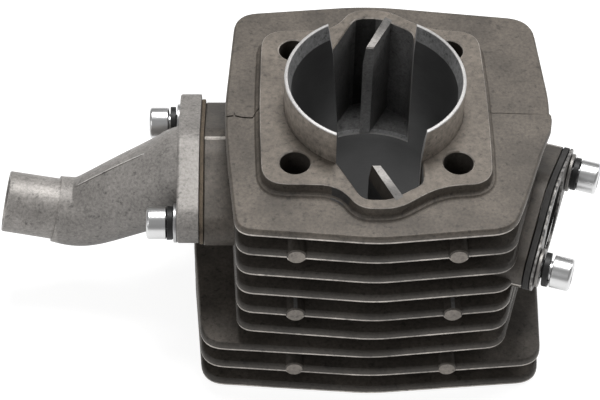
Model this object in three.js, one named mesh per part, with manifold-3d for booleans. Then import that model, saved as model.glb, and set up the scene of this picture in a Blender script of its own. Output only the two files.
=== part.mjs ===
// Air-cooled two-stroke cylinder barrel with its liner, intake manifold, gaskets and fasteners.
// Millimetres. The origin is on the bore axis, in the crankcase gasket face. +Z runs along the bore
// towards the crankcase, -X to the intake side, +X to the exhaust side and -Y to the front.
import * as THREE from 'three';
import { mergeVertices } from 'three/addons/utils/BufferGeometryUtils.js';
import Module from 'manifold-3d';

// ---- Driving dimensions -------------------------------------------------------------------------

const BORE_RADIUS = 25;
const LINER_RADIUS = 27.1;
const LINER_SEAT_RADIUS = 27.4; // the hole in the casting that the liner is pressed into
const SPIGOT_HEIGHT = 11.6; // how far the liner stands out of the crankcase gasket face
const SPIGOT_LEAD_IN = 5; // length of the chamfer in the spigot's mouth
const SPIGOT_RIM = 1.2; // flat width of the spigot's rim
const HEAD_FACE = -78; // Z of the cylinder head gasket face

const STUD_PITCH = 48;
const STUD_HOLE_RADIUS = 4.5;
const STUD_COLUMN_RADIUS = 8.5;
const CORE_RADIUS = 34;

const PAD_SIDE = 3.5; // height of the crankcase pad's side wall
const PAD_LEDGE = 1.2; // width of the step around the pad's foot

const FIN_COUNT = 9;
const FIN_PITCH = 8.8;
const FIN_THICKNESS = 2.3;
const DECK_TOP = -4.2; // top face of the first fin
const FIRST_WIDE_ON_INTAKE_SIDE = 6;
const FIRST_WIDE_ON_EXHAUST_SIDE = 7;
const EJECTOR_FINS = [1, 4, 7];
const EJECTOR_RADIUS = 2.9;
const EJECTOR_X = 23.6;
const EJECTOR_REACH = 48.6;

const PASSAGE_FLOOR = -37.6; // bottom of the transfer passages
const SLOT_LEFT = -12; // edges of the liner's transfer slots
const SLOT_RIGHT = 13.1;

const INTAKE_FACE = 51.3; // distance of the intake face from the bore axis
const INTAKE_Z = -29.5;
const INTAKE_BOLT_REACH = 21.4; // bolt axis to port axis
const INTAKE_PORT_RADIUS = 10.5;

const EXHAUST_TURN = THREE.MathUtils.degToRad(18.5); // the exhaust face looks this far to the front
const EXHAUST_FACE = 55.4;
const EXHAUST_Z = -30.5;
const EXHAUST_BOLT_REACH = 20.7;
const EXHAUST_PORT_RADIUS = 12;

// Two-bolt flanges: reach of the bolts, radius of the ends, radius of the middle, lift of the ends.
const INTAKE_BOSS = [INTAKE_BOLT_REACH, 6.7, 15.1, -0.2];
const INTAKE_GASKET = [INTAKE_BOLT_REACH, 7, 15.2, 0.8];
const MANIFOLD_FLANGE = [INTAKE_BOLT_REACH, 7.6, 15.6, 2.2];
const EXHAUST_BOSS = [EXHAUST_BOLT_REACH, 7.3, 14.8, 0];
const EXHAUST_GASKET = [EXHAUST_BOLT_REACH, 7.4, 15, 0];
const INTAKE_BOSS_DEPTH = 26;
const EXHAUST_BOSS_DEPTH = 28;

const JOINT_GAP = 0.3; // gap between stacked pieces on the turned exhaust face
const SEAT_GAP = 0.1; // gap between stacked pieces on the intake face
const INTAKE_GASKET_THICKNESS = 1.2;
const MANIFOLD_FLANGE_THICKNESS = 6.7;
const EXHAUST_GASKET_THICKNESS = 1.8;
const FACING_THICKNESS = 0.8;

const SCREW_RADIUS = 3;
const SCREW_HOLE_RADIUS = 3.3;
const SCREW_HOLE_DEPTH = 16;
const SCREW_LENGTH = 20;
const SCREW_HEAD_RADIUS = 4.95;
const SCREW_HEAD_HEIGHT = 6;
const SOCKET_ACROSS_FLATS = 5;
const SOCKET_DEPTH = 3;
const PLAIN_WASHER_RADIUS = 6;
const PLAIN_WASHER_THICKNESS = 1;
const LOCK_WASHER_RADIUS = 5.15;
const LOCK_WASHER_SPLIT = 1;
// Each lock washer is tightened down to its own thickness.
const INTAKE_LOCK_WASHERS = { front: 2, rear: 2.6 };
const EXHAUST_LOCK_WASHERS = { front: 2.7, rear: 1.8 };

const CARB_TUBE_RADIUS = 9.75;
const CARB_TUBE_BORE = 7.8;

const ROUND = 48; // facets on the bore
const SMALL_ROUND = 20; // facets on the fasteners
const DUCT_ROUND = 24; // points around a duct
const HIDDEN_ROUND = 8; // facets on screw holes and on what lies between the fins
const CORE_ROUND = 20; // facets on the wall around the liner

// ---- Solids -------------------------------------------------------------------------------------

const wasm = await Module();
wasm.setup();

function solidOf(geometry) {
  const bare = geometry.clone();
  bare.deleteAttribute('normal');
  bare.deleteAttribute('uv');
  const merged = mergeVertices(bare, 1e-4);
  return new wasm.Manifold(new wasm.Mesh({
    numProp: 3,
    vertProperties: new Float32Array(merged.attributes.position.array),
    triVerts: new Uint32Array(merged.index.array),
  }));
}

function geometryOf(solid) {
  const mesh = solid.getMesh();
  const geometry = new THREE.BufferGeometry();
  geometry.setAttribute('position', new THREE.BufferAttribute(new Float32Array(mesh.vertProperties), 3));
  geometry.setIndex(new THREE.BufferAttribute(new Uint32Array(mesh.triVerts), 1));
  const faceted = geometry.toNonIndexed();
  faceted.computeVertexNormals();
  return faceted;
}

// A closed skin through rings of points that all have the same count, capped at both ends.
function loft(rings) {
  const count = rings[0].length;
  const positions = [];
  const face = (a, b, c) => positions.push(...a.toArray(), ...b.toArray(), ...c.toArray());
  const middle = (ring) => ring.reduce((sum, p) => sum.add(p), new THREE.Vector3()).divideScalar(count);
  for (let i = 0; i + 1 < rings.length; i += 1) {
    for (let j = 0; j < count; j += 1) {
      const next = (j + 1) % count;
      face(rings[i][j], rings[i][next], rings[i + 1][next]);
      face(rings[i][j], rings[i + 1][next], rings[i + 1][j]);
    }
  }
  const first = rings[0];
  const last = rings[rings.length - 1];
  const start = middle(first);
  const end = middle(last);
  for (let j = 0; j < count; j += 1) {
    const next = (j + 1) % count;
    face(first[next], first[j], start);
    face(last[j], last[next], end);
  }
  const geometry = new THREE.BufferGeometry();
  geometry.setAttribute('position', new THREE.Float32BufferAttribute(positions, 3));
  return mergeVertices(geometry, 1e-4);
}

// A ring of a duct: an ellipse when power is 2, nearer to a rectangle when it is larger.
function section(centre, across, up, halfWidth, halfHeight, power = 2, count = DUCT_ROUND) {
  const ring = [];
  for (let i = 0; i < count; i += 1) {
    const angle = (i / count) * 2 * Math.PI;
    const c = Math.cos(angle);
    const s = Math.sin(angle);
    const u = Math.sign(c) * Math.abs(c) ** (2 / power) * halfWidth;
    const v = Math.sign(s) * Math.abs(s) ** (2 / power) * halfHeight;
    ring.push(centre.clone().addScaledVector(across, u).addScaledVector(up, v));
  }
  return ring;
}

function cylinder(radius, from, to, facets = SMALL_ROUND) {
  const geometry = new THREE.CylinderGeometry(radius, radius, to - from, facets);
  geometry.rotateX(Math.PI / 2);
  return geometry.translate(0, 0, (from + to) / 2);
}

function plate(shape, from, to, curveSegments = 5) {
  const depth = to - from;
  const geometry = new THREE.ExtrudeGeometry(shape, { depth, bevelEnabled: false, curveSegments });
  return geometry.translate(0, 0, from);
}

// A ring or disc turned about +Z. The profile holds [radius, z] pairs.
function turned(profile, facets = SMALL_ROUND) {
  const points = profile.map(([radius, z]) => new THREE.Vector2(radius, z));
  return new THREE.LatheGeometry(points, facets).rotateX(Math.PI / 2);
}

// An outline through corners [x, y, radius]; every edge bows outwards by crown.
function outline(corners, crown = 0) {
  const shape = new THREE.Shape();
  const at = corners.map(([x, y]) => new THREE.Vector2(x, y));
  corners.forEach(([, , radius], i) => {
    const next = (i + 1) % corners.length;
    const after = (i + 2) % corners.length;
    const along = at[next].clone().sub(at[i]).normalize();
    const onward = at[after].clone().sub(at[next]).normalize();
    const outward = new THREE.Vector2(along.y, -along.x);
    const nextRadius = corners[next][2];
    const a = at[i].clone().addScaledVector(along, radius);
    const b = at[next].clone().addScaledVector(along, -nextRadius);
    const c = at[next].clone().addScaledVector(onward, nextRadius);
    const control = a.clone().add(b).multiplyScalar(0.5).addScaledVector(outward, 2 * crown);
    if (i === 0) shape.moveTo(a.x, a.y);
    if (crown) shape.quadraticCurveTo(control.x, control.y, b.x, b.y);
    else shape.lineTo(b.x, b.y);
    if (nextRadius) shape.quadraticCurveTo(at[next].x, at[next].y, c.x, c.y);
  });
  return shape;
}

// The outline of a two-bolt flange: a middle circle and two end circles, joined by tangents. The end
// circles' centres stand above the middle by lift.
function ovalOutline(reach, endRadius, middleRadius, lift) {
  const tilt = Math.atan2(lift, reach);
  const turn = Math.acos((middleRadius - endRadius) / Math.hypot(reach, lift));
  const shape = new THREE.Shape();
  shape.absarc(reach, lift, endRadius, tilt - turn, tilt + turn);
  shape.absarc(0, 0, middleRadius, tilt + turn, Math.PI - tilt - turn);
  shape.absarc(-reach, lift, endRadius, Math.PI - tilt - turn, Math.PI - tilt + turn);
  shape.absarc(0, 0, middleRadius, Math.PI - tilt + turn, 2 * Math.PI + tilt - turn);
  return shape;
}

function addHole(shape, x, y, radius) {
  const hole = new THREE.Path();
  hole.absarc(x, y, radius, 0, 2 * Math.PI, true);
  shape.holes.push(hole);
}

// ---- Frames of the two port faces: local +Z looks out of the face, local +Y is up ----------------

const UP = new THREE.Vector3(0, 0, 1);

function faceFrame(outward, distance, height) {
  const across = new THREE.Vector3().crossVectors(UP, outward);
  const frame = new THREE.Matrix4().makeBasis(across, UP, outward);
  return frame.setPosition(outward.clone().multiplyScalar(distance).setZ(height));
}

const intakeOutward = new THREE.Vector3(-1, 0, 0);
const exhaustOutward = new THREE.Vector3(Math.cos(EXHAUST_TURN), -Math.sin(EXHAUST_TURN), 0);
const intakeFrame = faceFrame(intakeOutward, INTAKE_FACE, INTAKE_Z);
const exhaustFrame = faceFrame(exhaustOutward, EXHAUST_FACE, EXHAUST_Z);

// ---- Casting ------------------------------------------------------------------------------------

const PAD_CORNERS = [
  [-33.5, -32.4, 6.5],
  [33.5, -32.4, 6.5],
  [33.5, 32.4, 6.5],
  [-33.5, 32.4, 6.5],
];
const LOBE_CORNERS = [
  [-17.5, -24, 0],
  [-5.4, -42.1, 4],
  [5.4, -42.1, 4],
  [31, -24, 0],
];
const PASSAGE_CORNERS = [
  [-14.4, -19, 0],
  [-4.6, -38.6, 3],
  [3.6, -38.6, 3],
  [13.5, -32.2, 2.5],
  [13.5, -19, 0],
];
const RIB_CORNERS = [
  [-1.9, -23, 0],
  [5.2, -39.2, 0],
  [7.2, -37.6, 0],
  [-0.1, -23, 0],
];
const DECK_CORNERS = [
  [-41.3, -46.6, 5],
  [0, -50, 10],
  [40.1, -45.6, 5],
  [50.4, -11.5, 1],
  [53.9, -4.5, 1],
  [53.9, 8, 8],
  [51.8, 43.2, 8],
  [0, 49.5, 10],
  [-42.2, 45.3, 6],
  [-44.6, 2, 8],
];
const NARROW_CORNERS = [
  [-41.2, -46.4, 5],
  [0, -49.6, 10],
  [40.3, -46, 5],
  [49.6, -14, 3],
  [51.6, 43.2, 8],
  [0, 49.5, 10],
  [-41.2, 46.4, 6],
  [-43.4, 0, 8],
];
const WIDE_LEFT_CORNERS = [
  [0, 49.5, 10],
  [-52.2, 46.6, 7],
  [-55.8, 0, 10],
  [-52.2, -46.6, 7],
  [0, -49.6, 10],
];
const WIDE_RIGHT_CORNERS = [
  [0, -49.6, 10],
  [53, -46, 7],
  [55.4, 0, 10],
  [53, 46, 7],
  [0, 49.5, 10],
];
const NARROW_RIGHT_CORNERS = NARROW_CORNERS.slice(1, 6);
const HEAD_CORNERS = [
  [-35, -35, 12],
  [35, -35, 12],
  [35, 35, 12],
  [-35, 35, 12],
];

function mirrored(corners) {
  return corners.map(([x, y, radius]) => [x, -y, radius]).reverse();
}

// The two halves of a fin meet at their shared first and last corners.
function joinHalves(right, left) {
  return [...right, ...left.slice(1, -1)];
}

function finOutline(index) {
  if (index === 0) return outline(DECK_CORNERS);
  if (index < FIRST_WIDE_ON_INTAKE_SIDE) return outline(NARROW_CORNERS);
  const wideRight = index >= FIRST_WIDE_ON_EXHAUST_SIDE;
  const right = wideRight ? WIDE_RIGHT_CORNERS : NARROW_RIGHT_CORNERS;
  return outline(joinHalves(right, WIDE_LEFT_CORNERS));
}

function finTop(index) {
  return DECK_TOP - index * FIN_PITCH;
}

function fins() {
  const plates = [];
  for (let index = 0; index < FIN_COUNT; index += 1) {
    const top = finTop(index);
    plates.push(solidOf(plate(finOutline(index), top - FIN_THICKNESS, top, 2)));
  }
  for (const index of EJECTOR_FINS) {
    const height = finTop(index) - FIN_THICKNESS / 2;
    for (const side of [-1, 1]) {
      const pin = cylinder(EJECTOR_RADIUS, -EJECTOR_REACH, EJECTOR_REACH, HIDDEN_ROUND);
      pin.rotateX(Math.PI / 2).translate(side * EJECTOR_X, 0, height);
      plates.push(solidOf(pin));
    }
  }
  return plates;
}

function studAxes() {
  const half = STUD_PITCH / 2;
  return [[-half, -half], [half, -half], [half, half], [-half, half]];
}

// The body inside the fins: the wall around the liner, the stud columns, the transfer bulges
// and the machined pads at both ends.
function core() {
  const parts = [solidOf(cylinder(CORE_RADIUS, HEAD_FACE + 2, -1, CORE_ROUND))];
  for (const [x, y] of studAxes()) {
    const column = cylinder(STUD_COLUMN_RADIUS, HEAD_FACE + 2, -1, HIDDEN_ROUND).translate(x, y, 0);
    parts.push(solidOf(column));
  }
  for (const lobe of [LOBE_CORNERS, mirrored(LOBE_CORNERS)]) {
    parts.push(solidOf(plate(outline(lobe), PASSAGE_FLOOR - 8, 0, 3)));
  }
  const ledge = PAD_CORNERS.map(([x, y, radius]) => (
    [x + Math.sign(x) * PAD_LEDGE, y + Math.sign(y) * PAD_LEDGE, radius]
  ));
  parts.push(solidOf(plate(outline(PAD_CORNERS, 0.5), -PAD_SIDE - 1, 0)));
  parts.push(solidOf(plate(outline(ledge, 0.5), DECK_TOP - 1, -PAD_SIDE)));
  parts.push(solidOf(plate(outline(HEAD_CORNERS), HEAD_FACE, HEAD_FACE + 4, 3)));
  return parts;
}

function boss(frame, oval, depth) {
  return solidOf(plate(ovalOutline(...oval), -depth, 0).applyMatrix4(frame));
}

// The intake duct climbs from the port in the bore to the round hole in the intake face.
function intakeDuct() {
  const across = new THREE.Vector3(0, -1, 0);
  const round = [INTAKE_PORT_RADIUS, INTAKE_PORT_RADIUS, 2];
  const stations = [
    [-INTAKE_FACE - 1, INTAKE_Z, ...round],
    [-INTAKE_FACE + 6, INTAKE_Z, ...round],
    [-32, INTAKE_Z + 1.5, 10.8, 8.4, 3],
    [-21, INTAKE_Z + 3, 11, 7, 4],
  ];
  return loft(stations.map(([x, z, halfWidth, halfHeight, power]) => (
    section(new THREE.Vector3(x, 0, z), across, UP, halfWidth, halfHeight, power)
  )).reverse());
}

// The exhaust duct falls from the round hole in the exhaust face to the port in the bore.
function exhaustDuct() {
  const across = new THREE.Vector3().crossVectors(UP, exhaustOutward);
  const round = [EXHAUST_PORT_RADIUS, EXHAUST_PORT_RADIUS, 2];
  const stations = [
    [21, EXHAUST_Z - 10, 12, 7.5, 4],
    [32, EXHAUST_Z - 7, 12, 9, 3],
    [EXHAUST_FACE - 8, EXHAUST_Z - 1, ...round],
    [EXHAUST_FACE + 1, EXHAUST_Z, ...round],
  ];
  return loft(stations.map(([distance, z, halfWidth, halfHeight, power]) => {
    const centre = exhaustOutward.clone().multiplyScalar(distance).setZ(z);
    return section(centre, across, UP, halfWidth, halfHeight, power);
  }));
}

const intakeDuctSolid = solidOf(intakeDuct());
const exhaustDuctSolid = solidOf(exhaustDuct());

function screwHoles(frame, reach) {
  return [-reach, reach].map((x) => {
    const hole = cylinder(SCREW_HOLE_RADIUS, -SCREW_HOLE_DEPTH, 1, HIDDEN_ROUND);
    return solidOf(hole.translate(x, 0, 0).applyMatrix4(frame));
  });
}

function barrel() {
  const added = [
    ...core(),
    ...fins(),
    boss(intakeFrame, INTAKE_BOSS, INTAKE_BOSS_DEPTH),
    boss(exhaustFrame, EXHAUST_BOSS, EXHAUST_BOSS_DEPTH),
  ];
  const passages = [PASSAGE_CORNERS, mirrored(PASSAGE_CORNERS)];
  const removed = [
    solidOf(cylinder(LINER_SEAT_RADIUS, HEAD_FACE - 1, 1, ROUND)),
    ...passages.map((corners) => solidOf(plate(outline(corners), PASSAGE_FLOOR, 1, 3))),
    ...studAxes().map(([x, y]) => (
      solidOf(cylinder(STUD_HOLE_RADIUS, HEAD_FACE - 1, 1, 16).translate(x, y, 0))
    )),
    intakeDuctSolid,
    exhaustDuctSolid,
    ...screwHoles(intakeFrame, INTAKE_BOLT_REACH),
    ...screwHoles(exhaustFrame, EXHAUST_BOLT_REACH),
  ];
  const casting = removed.reduce(
    (rest, part) => rest.subtract(part),
    added.reduce((sum, part) => sum.add(part)),
  );
  return ribs().reduce((sum, rib) => sum.add(rib), casting);
}

// Each transfer passage has a dividing rib that reaches in to the bore through the liner's slot.
// Under its inner end it keeps clear of the liner, which fills the seat below the slot.
function ribs() {
  const bore = solidOf(cylinder(BORE_RADIUS, PASSAGE_FLOOR - 1, 1, ROUND));
  const seat = solidOf(cylinder(LINER_SEAT_RADIUS, PASSAGE_FLOOR - 1, PASSAGE_FLOOR + 0.3, ROUND));
  return [RIB_CORNERS, mirrored(RIB_CORNERS)].map((corners) => (
    solidOf(plate(outline(corners), PASSAGE_FLOOR - 0.5, 0)).subtract(bore).subtract(seat)
  ));
}

// ---- Liner --------------------------------------------------------------------------------------

function liner() {
  const rimInside = LINER_RADIUS - SPIGOT_RIM;
  const sleeve = solidOf(turned([
    [BORE_RADIUS, HEAD_FACE],
    [LINER_RADIUS, HEAD_FACE],
    [LINER_RADIUS, SPIGOT_HEIGHT - 0.3],
    [LINER_RADIUS - 0.3, SPIGOT_HEIGHT],
    [rimInside, SPIGOT_HEIGHT],
    [BORE_RADIUS, SPIGOT_HEIGHT - SPIGOT_LEAD_IN],
    [BORE_RADIUS, HEAD_FACE],
  ], ROUND));
  const slot = new THREE.BoxGeometry(SLOT_RIGHT - SLOT_LEFT, 30, SPIGOT_HEIGHT + 1 - PASSAGE_FLOOR);
  const height = (SPIGOT_HEIGHT + 1 + PASSAGE_FLOOR) / 2;
  const slots = [-1, 1].map((side) => (
    solidOf(slot.clone().translate((SLOT_LEFT + SLOT_RIGHT) / 2, side * 30, height))
  ));
  const cuts = [...slots, intakeDuctSolid, exhaustDuctSolid];
  return cuts.reduce((rest, cut) => rest.subtract(cut), sleeve);
}

// ---- Intake manifold, in the intake face's frame --------------------------------------------------

// Stations of the duct: distance from the intake face, height, outer radius, inner radius.
const MANIFOLD_STATIONS = [
  [2, 0, 15, INTAKE_PORT_RADIUS],
  [6, -1.5, 14.8, INTAKE_PORT_RADIUS],
  [10.7, -3.6, 14.3, 10.3],
  [15.7, -6.1, 13.6, 9.9],
  [21.7, -9.2, 12.9, 9.5],
  [27.7, -12.6, 12.3, 9.1],
  [33.7, -16, 11.7, 8.7],
  [37.7, -17.8, 11.3, 8.4],
  [41.2, -18.4, 11, 8.1],
  [44.6, -17.9, 10.8, 7.9],
  [47.7, -17.1, 10.5, 7.8],
];
const TUBE_END = [63.1, -13.5];

// The duct's rings turn with the curve's mean direction over a short stretch, so that they don't
// cross on the inside of the bend.
function flowFrame(curve, t) {
  const stretch = 0.11;
  const before = curve.getTangentAt(Math.max(0, t - stretch));
  const after = curve.getTangentAt(Math.min(1, t + stretch));
  const across = new THREE.Vector3(1, 0, 0);
  const up = new THREE.Vector3().crossVectors(before.add(after), across).normalize();
  return { across, up };
}

function manifoldCurve() {
  const points = MANIFOLD_STATIONS.map(([distance, height]) => new THREE.Vector3(0, height, distance));
  points.push(new THREE.Vector3(0, TUBE_END[1], TUBE_END[0]));
  return new THREE.CatmullRomCurve3(points);
}

// The radius between stations, as a share of the way along the curve.
function radiusAt(column, t) {
  const values = MANIFOLD_STATIONS.map((station) => station[column]);
  values.push(values[values.length - 1]);
  const place = t * (values.length - 1);
  const low = Math.min(Math.floor(place), values.length - 2);
  return THREE.MathUtils.lerp(values[low], values[low + 1], place - low);
}

function ductAlong(curve, column, from, to, steps) {
  const rings = [];
  for (let i = 0; i <= steps; i += 1) {
    const t = THREE.MathUtils.lerp(from, to, i / steps);
    const frame = flowFrame(curve, curve.getUtoTmapping(t));
    const radius = radiusAt(column, t);
    rings.push(section(curve.getPoint(t), frame.across, frame.up, radius, radius));
  }
  return loft(rings);
}

function straightTube(start, end, radii) {
  const along = end.clone().sub(start).normalize();
  const across = new THREE.Vector3(1, 0, 0);
  const up = new THREE.Vector3().crossVectors(along, across);
  return loft([start, end].map((point, i) => section(point, across, up, radii[i], radii[i])));
}

function manifold() {
  const flangeFrom = SEAT_GAP + INTAKE_GASKET_THICKNESS + SEAT_GAP;
  const flangeTo = flangeFrom + MANIFOLD_FLANGE_THICKNESS;
  const curve = manifoldCurve();
  const bodyEnd = (MANIFOLD_STATIONS.length - 1) / MANIFOLD_STATIONS.length;
  const tubeStart = curve.getPoint(bodyEnd);
  const tubeEnd = new THREE.Vector3(0, TUBE_END[1], TUBE_END[0]);
  const along = tubeEnd.clone().sub(tubeStart).normalize();
  const flange = solidOf(plate(ovalOutline(...MANIFOLD_FLANGE), flangeFrom, flangeTo));
  const outer = solidOf(ductAlong(curve, 2, 0, bodyEnd, 12));
  const tube = solidOf(straightTube(
    tubeStart.clone().addScaledVector(along, -4),
    tubeEnd,
    [CARB_TUBE_RADIUS + 0.25, CARB_TUBE_RADIUS - 0.15],
  ));
  const inner = solidOf(ductAlong(curve, 3, 0, bodyEnd, 10));
  const mouth = solidOf(straightTube(
    tubeStart.clone().addScaledVector(along, -2),
    tubeEnd.clone().addScaledVector(along, 1),
    [CARB_TUBE_BORE, CARB_TUBE_BORE],
  ));
  const inlet = solidOf(cylinder(INTAKE_PORT_RADIUS, flangeFrom - 1, 3.6, DUCT_ROUND));
  const behind = solidOf(new THREE.BoxGeometry(80, 80, 20).translate(0, 0, flangeFrom - 10));
  const holes = [-1, 1].map((side) => (
    solidOf(cylinder(SCREW_HOLE_RADIUS, flangeFrom - 1, flangeTo + 12)
      .translate(side * INTAKE_BOLT_REACH, 0, 0))
  ));
  return [behind, inner, mouth, inlet, ...holes].reduce(
    (rest, cut) => rest.subtract(cut),
    flange.add(outer).add(tube),
  );
}

// ---- Gaskets and fasteners, each with its seat at local Z = 0 --------------------------------------

function gasket(oval, portRadius, thickness) {
  const shape = ovalOutline(...oval);
  const reach = oval[0];
  addHole(shape, 0, 0, portRadius);
  addHole(shape, reach, 0, SCREW_HOLE_RADIUS);
  addHole(shape, -reach, 0, SCREW_HOLE_RADIUS);
  return plate(shape, 0, thickness, 6);
}

function washer(outerRadius, thickness) {
  const inner = SCREW_HOLE_RADIUS;
  return turned([[inner, 0], [outerRadius, 0], [outerRadius, thickness], [inner, thickness], [inner, 0]]);
}

function lockWasher(thickness) {
  const ring = solidOf(washer(LOCK_WASHER_RADIUS, thickness));
  const split = new THREE.BoxGeometry(LOCK_WASHER_SPLIT, 6, thickness + 2);
  split.translate(0, -4.5, thickness / 2).rotateZ(0.5);
  return geometryOf(ring.subtract(solidOf(split)));
}

// A socket head cap screw: the head stands on local Z = 0 and the shank points down.
function capScrew() {
  const rim = 0.6;
  const body = solidOf(turned([
    [0, -SCREW_LENGTH],
    [SCREW_RADIUS - 0.5, -SCREW_LENGTH],
    [SCREW_RADIUS, -SCREW_LENGTH + 0.5],
    [SCREW_RADIUS, 0],
    [SCREW_HEAD_RADIUS, 0],
    [SCREW_HEAD_RADIUS, SCREW_HEAD_HEIGHT - rim],
    [SCREW_HEAD_RADIUS - rim, SCREW_HEAD_HEIGHT],
    [0, SCREW_HEAD_HEIGHT],
  ]));
  const corner = SOCKET_ACROSS_FLATS / Math.sqrt(3);
  const socket = cylinder(corner, SCREW_HEAD_HEIGHT - SOCKET_DEPTH, SCREW_HEAD_HEIGHT + 1, 6);
  return geometryOf(body.subtract(solidOf(socket)));
}

// ---- Assembly -----------------------------------------------------------------------------------

function material(color, roughness, metalness) {
  return new THREE.MeshStandardMaterial({ color, roughness, metalness });
}

const CAST = () => material(0x77706b, 0.6, 0.6);
const LINER_STEEL = () => material(0xb9b6b3, 0.35, 0.9);
const MANIFOLD_CAST = () => material(0x8b8782, 0.55, 0.6);
const ZINC = () => material(0xd5d6d6, 0.22, 1);
const BLACK_STEEL = () => material(0x1c1b1a, 0.5, 0.6);
const PAPER = () => material(0x735640, 0.9, 0);
const GRAPHITE = () => material(0x262422, 0.85, 0);
const FACING = () => material(0xa29d97, 0.5, 0.7);

const assembly = new THREE.Group();

function addMesh(parent, name, geometry, meshMaterial, position = [0, 0, 0]) {
  const mesh = new THREE.Mesh(geometry, meshMaterial);
  mesh.name = name;
  mesh.position.set(...position);
  parent.add(mesh);
  return mesh;
}

function portGroup(frame) {
  const group = new THREE.Group();
  frame.decompose(group.position, group.quaternion, group.scale);
  assembly.add(group);
  return group;
}

// A plain washer, a lock washer and a screw, stacked outwards from the seat.
function fastener(group, port, end, x, seat, lockThicknesses, gap) {
  const lockThickness = lockThicknesses[end];
  const lockSeat = seat + PLAIN_WASHER_THICKNESS + gap;
  const headSeat = lockSeat + lockThickness + gap;
  const plain = washer(PLAIN_WASHER_RADIUS, PLAIN_WASHER_THICKNESS);
  addMesh(group, `${port}_plain_washer_${end}`, plain, ZINC(), [x, 0, seat]);
  addMesh(group, `${port}_lock_washer_${end}`, lockWasher(lockThickness), BLACK_STEEL(), [x, 0, lockSeat]);
  addMesh(group, `${port}_screw_${end}`, capScrew(), ZINC(), [x, 0, headSeat]);
}

addMesh(assembly, 'cylinder_barrel', geometryOf(barrel()), CAST());
addMesh(assembly, 'cylinder_liner', geometryOf(liner()), LINER_STEEL());

const intake = portGroup(intakeFrame);
const intakeGasket = gasket(INTAKE_GASKET, INTAKE_PORT_RADIUS, INTAKE_GASKET_THICKNESS);
addMesh(intake, 'intake_gasket', intakeGasket, PAPER(), [0, 0, SEAT_GAP]);
addMesh(intake, 'intake_manifold', geometryOf(manifold()), MANIFOLD_CAST());
const intakeSeat = INTAKE_GASKET_THICKNESS + MANIFOLD_FLANGE_THICKNESS + 3 * SEAT_GAP;
fastener(intake, 'intake', 'front', INTAKE_BOLT_REACH, intakeSeat, INTAKE_LOCK_WASHERS, SEAT_GAP);
fastener(intake, 'intake', 'rear', -INTAKE_BOLT_REACH, intakeSeat, INTAKE_LOCK_WASHERS, SEAT_GAP);

const exhaust = portGroup(exhaustFrame);
const facingSeat = EXHAUST_GASKET_THICKNESS + 2 * JOINT_GAP;
const exhaustSeat = facingSeat + FACING_THICKNESS + JOINT_GAP;
const exhaustGasket = gasket(EXHAUST_GASKET, EXHAUST_PORT_RADIUS, EXHAUST_GASKET_THICKNESS);
const facing = gasket(EXHAUST_GASKET, EXHAUST_PORT_RADIUS, FACING_THICKNESS);
addMesh(exhaust, 'exhaust_gasket', exhaustGasket, GRAPHITE(), [0, 0, JOINT_GAP]);
addMesh(exhaust, 'exhaust_gasket_facing', facing, FACING(), [0, 0, facingSeat]);
fastener(exhaust, 'exhaust', 'front', -EXHAUST_BOLT_REACH, exhaustSeat, EXHAUST_LOCK_WASHERS, JOINT_GAP);
fastener(exhaust, 'exhaust', 'rear', EXHAUST_BOLT_REACH, exhaustSeat, EXHAUST_LOCK_WASHERS, JOINT_GAP);

export default assembly;
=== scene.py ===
import math

import bmesh
import bpy
import numpy as np
from mathutils import Matrix, Quaternion, Vector


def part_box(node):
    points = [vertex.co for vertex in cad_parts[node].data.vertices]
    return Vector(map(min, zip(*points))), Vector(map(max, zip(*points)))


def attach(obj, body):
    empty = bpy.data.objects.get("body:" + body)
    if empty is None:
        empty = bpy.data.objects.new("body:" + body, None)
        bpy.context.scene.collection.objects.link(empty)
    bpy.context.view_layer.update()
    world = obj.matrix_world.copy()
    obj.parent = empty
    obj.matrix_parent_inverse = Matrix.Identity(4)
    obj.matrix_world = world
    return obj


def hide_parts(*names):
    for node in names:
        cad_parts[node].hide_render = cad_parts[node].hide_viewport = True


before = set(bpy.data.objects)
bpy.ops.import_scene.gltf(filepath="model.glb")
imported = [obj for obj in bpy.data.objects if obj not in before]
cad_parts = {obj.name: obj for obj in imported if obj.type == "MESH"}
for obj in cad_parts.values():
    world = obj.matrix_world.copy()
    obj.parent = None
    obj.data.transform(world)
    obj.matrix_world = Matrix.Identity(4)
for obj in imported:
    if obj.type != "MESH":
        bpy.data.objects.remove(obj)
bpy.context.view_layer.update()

MM = 0.001

# ---- Dimensions in millimetres ----------------------------------------------------------------------

barrel_low = np.array(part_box("cylinder_barrel")[0]) / MM
liner_high = np.array(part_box("cylinder_liner")[1]) / MM
HEAD_FACE = float(barrel_low[2])
SPIGOT_HEIGHT = float(liner_high[2])
LINER_RADIUS = float(liner_high[1])
LINER_GAP = 0.08
SEAT_RADIUS = LINER_RADIUS + LINER_GAP
BORE_RADIUS = 25.0
SPIGOT_LEAD_IN = 5.0  # height of the cone inside the spigot's mouth
SPIGOT_RIM = 1.05  # width of the flat rim on top of the spigot

STUD_HALF_PITCH = 24.0
STUD_HOLE_RADIUS = 4.5
STUD_COLUMN_RADIUS = 8.5
CORE_RADIUS = 34.0
EDGE_BREAK = 0.35  # bevel round the holes in the pad

DECK_TOP = -4.2
PAD_SIDE = 3.5
FIN_COUNT = 9
FIN_PITCH = 8.8
FIN_THICKNESS = 2.3
FIN_EDGE = 0.4  # height of the band round a fin where the mould parts
FIRST_WIDE_LEFT = 6
FIRST_WIDE_RIGHT = 7
EJECTOR_FINS = (1, 4, 7)
EJECTOR_RADIUS = 2.9
EJECTOR_X = 23.6
EJECTOR_REACH = 48.6

PASSAGE_FLOOR = -37.6
RIB_RISE = 0.04
RIB_BRIGHT_TO = 29.0  # distance from the bore's centre at which a rib's top starts to darken
RIB_FADE = 6.0

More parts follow.
